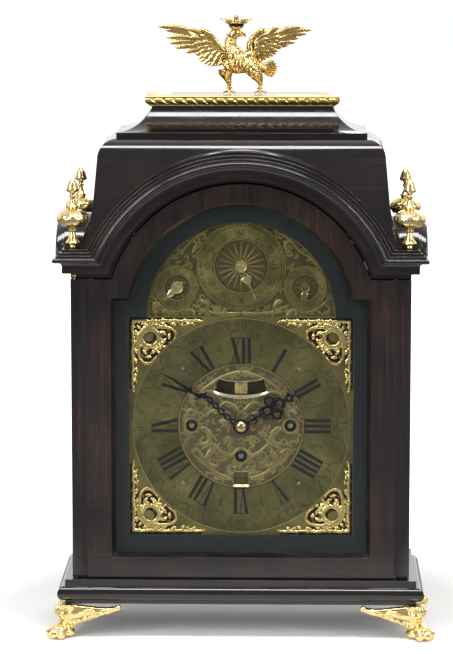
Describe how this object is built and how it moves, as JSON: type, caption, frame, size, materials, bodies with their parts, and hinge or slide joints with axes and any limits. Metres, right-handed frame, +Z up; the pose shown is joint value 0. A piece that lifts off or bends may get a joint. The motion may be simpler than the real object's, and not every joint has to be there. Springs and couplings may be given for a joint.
{
  "type": "bracket clock",
  "caption": "Break-arch bracket clock with an ebonised bell-top case, gilt eagle, finials and paw feet, brass dial with subsidiary dials, and a bob-pendulum movement.",
  "frame": {"origin": "middle of the footprint, on the surface that the paw feet stand on", "axes": "+X to the viewer's right, +Y from the dial to the back, +Z up"},
  "size_m": [0.332, 0.1514, 0.5276],
  "materials": {
    "ebonised_wood": "french polished",
    "mask_black": "painted satin black",
    "plain_oak": "planed and oiled",
    "clear_glass": "clear drawn glass",
    "gilt_brass": "fire gilt",
    "aged_brass": "engraved and aged",
    "lacquered_gilt": "chased and lacquered",
    "pin_steel": "polished",
    "blued_steel": "blued nearly black",
    "bright_brass": "polished",
    "polished_steel": "polished",
    "bell_metal": "turned",
    "bob_brass": "polished",
    "movement_brass": "grained"
  },
  "bodies": {
    "case": {"foot_front_left": "gilt_brass", "foot_front_right": "gilt_brass", "foot_rear_left": "gilt_brass", "foot_rear_right": "gilt_brass", "base_board": "ebonised_wood", "base_moulding": "ebonised_wood", "side_left": "ebonised_wood", "side_right": "ebonised_wood", "side_glass": "clear_glass", "arch_board": "ebonised_wood", "cornice_front": "ebonised_wood", "cornice_sides": "ebonised_wood", "bell_top": "ebonised_wood", "bell_cap": "ebonised_wood", "gilt_rim": "gilt_brass", "finial_front_left": "gilt_brass", "finial_front_right": "gilt_brass", "finial_rear_left": "gilt_brass", "finial_rear_right": "gilt_brass", "eagle_body": "gilt_brass", "eagle_wings": "gilt_brass", "door_pivots": "gilt_brass", "dial_mask": "mask_black", "dial_plate": "aged_brass", "chapter_ring": "aged_brass", "chapter_ring_pins": "pin_steel", "spandrels": "lacquered_gilt", "subdial_rings": "aged_brass", "front_plate": "movement_brass", "back_plate": "movement_brass", "pillars_and_cocks": "movement_brass", "seat_board": "plain_oak", "bells": "bell_metal"},
    "front_door": {"front_door_frame": "ebonised_wood", "front_door_glass": "clear_glass"},
    "back_door": {"back_door_frame": "ebonised_wood", "back_door_glass": "clear_glass", "back_door_knob": "gilt_brass"},
    "minute_work": {"minute_hand": "blued_steel", "hand_collet": "bright_brass", "cannon_pinion": "movement_brass"},
    "hour_work": {"hour_hand": "blued_steel", "hour_wheel": "movement_brass"},
    "minute_wheel_body": {"minute_wheel": "movement_brass"},
    "centre_arbor": {"centre_wheel": "movement_brass"},
    "going_barrel_body": {"going_barrel": "movement_brass"},
    "strike_barrel_body": {"strike_barrel": "movement_brass"},
    "quarter_barrel_body": {"quarter_barrel": "movement_brass"},
    "contrate_body": {"contrate_wheel": "movement_brass"},
    "crown_body": {"crown_wheel": "movement_brass"},
    "pendulum": {"verge": "polished_steel", "pendulum_rod": "polished_steel", "pendulum_bob": "bob_brass", "mock_bob": "bright_brass"},
    "strike_hammer_body": {"strike_hammer": "polished_steel"},
    "quarter_hammer_body": {"quarter_hammer": "polished_steel"},
    "upper_dial_hand_body": {"upper_dial_hand": "bright_brass"},
    "left_dial_hand_body": {"left_dial_hand": "bright_brass"},
    "right_dial_hand_body": {"right_dial_hand": "bright_brass"},
    "date_disc_body": {"date_disc": "aged_brass"}
  },
  "joints": [
    {"name": "front_door_hinge", "type": "hinge", "parent": "case", "child": "front_door", "pos_m": [-0.141, -0.04875, 0.18], "axis": [0, 0, 1], "range_deg": [-110, 0]},
    {"name": "back_door_hinge", "type": "hinge", "parent": "case", "child": "back_door", "pos_m": [0.1299, 0.06275, 0.19], "axis": [0, 0, 1], "range_deg": [-95, 0]},
    {"name": "minute_hand_turn", "type": "hinge", "parent": "case", "child": "minute_work", "pos_m": [0, -0.039, 0.18], "axis": [0, 1, 0], "continuous": true},
    {"name": "hour_hand_turn", "type": "hinge", "parent": "case", "child": "hour_work", "pos_m": [0, -0.037, 0.18], "axis": [0, 1, 0], "continuous": true},
    {"name": "minute_wheel_turn", "type": "hinge", "parent": "case", "child": "minute_wheel_body", "pos_m": [0.018, -0.022, 0.18], "axis": [0, 1, 0], "continuous": true},
    {"name": "contrate_turn", "type": "hinge", "parent": "case", "child": "contrate_body", "pos_m": [0, 0.003, 0.2052], "axis": [0, 1, 0], "continuous": true},
    {"name": "centre_wheel_turn", "type": "hinge", "parent": "case", "child": "centre_arbor", "pos_m": [0, 0.023, 0.18], "axis": [0, 1, 0], "continuous": true},
    {"name": "going_barrel_turn", "type": "hinge", "parent": "case", "child": "going_barrel_body", "pos_m": [0, 0, 0.1535], "axis": [0, 1, 0], "continuous": true},
    {"name": "crown_wheel_turn", "type": "hinge", "parent": "case", "child": "crown_body", "pos_m": [0, 0.00875, 0.25], "axis": [0, 0, 1], "continuous": true},
    {"name": "strike_barrel_turn", "type": "hinge", "parent": "case", "child": "strike_barrel_body", "pos_m": [-0.0422, 0, 0.18], "axis": [0, 1, 0], "continuous": true},
    {"name": "quarter_barrel_turn", "type": "hinge", "parent": "case", "child": "quarter_barrel_body", "pos_m": [0.0422, 0, 0.18], "axis": [0, 1, 0], "continuous": true},
    {"name": "pendulum_swing", "type": "hinge", "parent": "case", "child": "pendulum", "pos_m": [0, 0.041, 0.284], "axis": [0, 1, 0], "range_deg": [-12, 12]},
    {"name": "strike_hammer_lift", "type": "hinge", "parent": "case", "child": "strike_hammer_body", "pos_m": [0.056, 0.0125, 0.292], "axis": [0, 1, 0], "range_deg": [0, 22], "stiffness_Nm_per_rad": 0.02, "springref_deg": -34.38},
    {"name": "quarter_hammer_lift", "type": "hinge", "parent": "case", "child": "quarter_hammer_body", "pos_m": [-0.047, 0.0125, 0.292], "axis": [0, 1, 0], "range_deg": [-22, 0], "stiffness_Nm_per_rad": 0.02, "springref_deg": 34.38},
    {"name": "upper_dial_hand_turn", "type": "hinge", "parent": "case", "child": "upper_dial_hand_body", "pos_m": [0, -0.034, 0.3175], "axis": [0, 1, 0], "continuous": true},
    {"name": "left_dial_hand_turn", "type": "hinge", "parent": "case", "child": "left_dial_hand_body", "pos_m": [-0.0545, -0.034, 0.2994], "axis": [0, 1, 0], "continuous": true},
    {"name": "right_dial_hand_turn", "type": "hinge", "parent": "case", "child": "right_dial_hand_body", "pos_m": [0.0545, -0.034, 0.2994], "axis": [0, 1, 0], "continuous": true},
    {"name": "date_disc_turn", "type": "hinge", "parent": "case", "child": "date_disc_body", "pos_m": [0, -0.028, 0.1177], "axis": [0, 1, 0], "continuous": true}
  ],
  "couplings": [
    {"joint": "hour_hand_turn", "follows": "minute_hand_turn", "ratio": 0.083333},
    {"joint": "minute_wheel_turn", "follows": "minute_hand_turn", "ratio": -0.33333},
    {"joint": "centre_wheel_turn", "follows": "contrate_turn", "ratio": -0.11111},
    {"joint": "going_barrel_turn", "follows": "contrate_turn", "ratio": 0.018519},
    {"joint": "crown_wheel_turn", "follows": "contrate_turn", "ratio": 6}
  ]
}
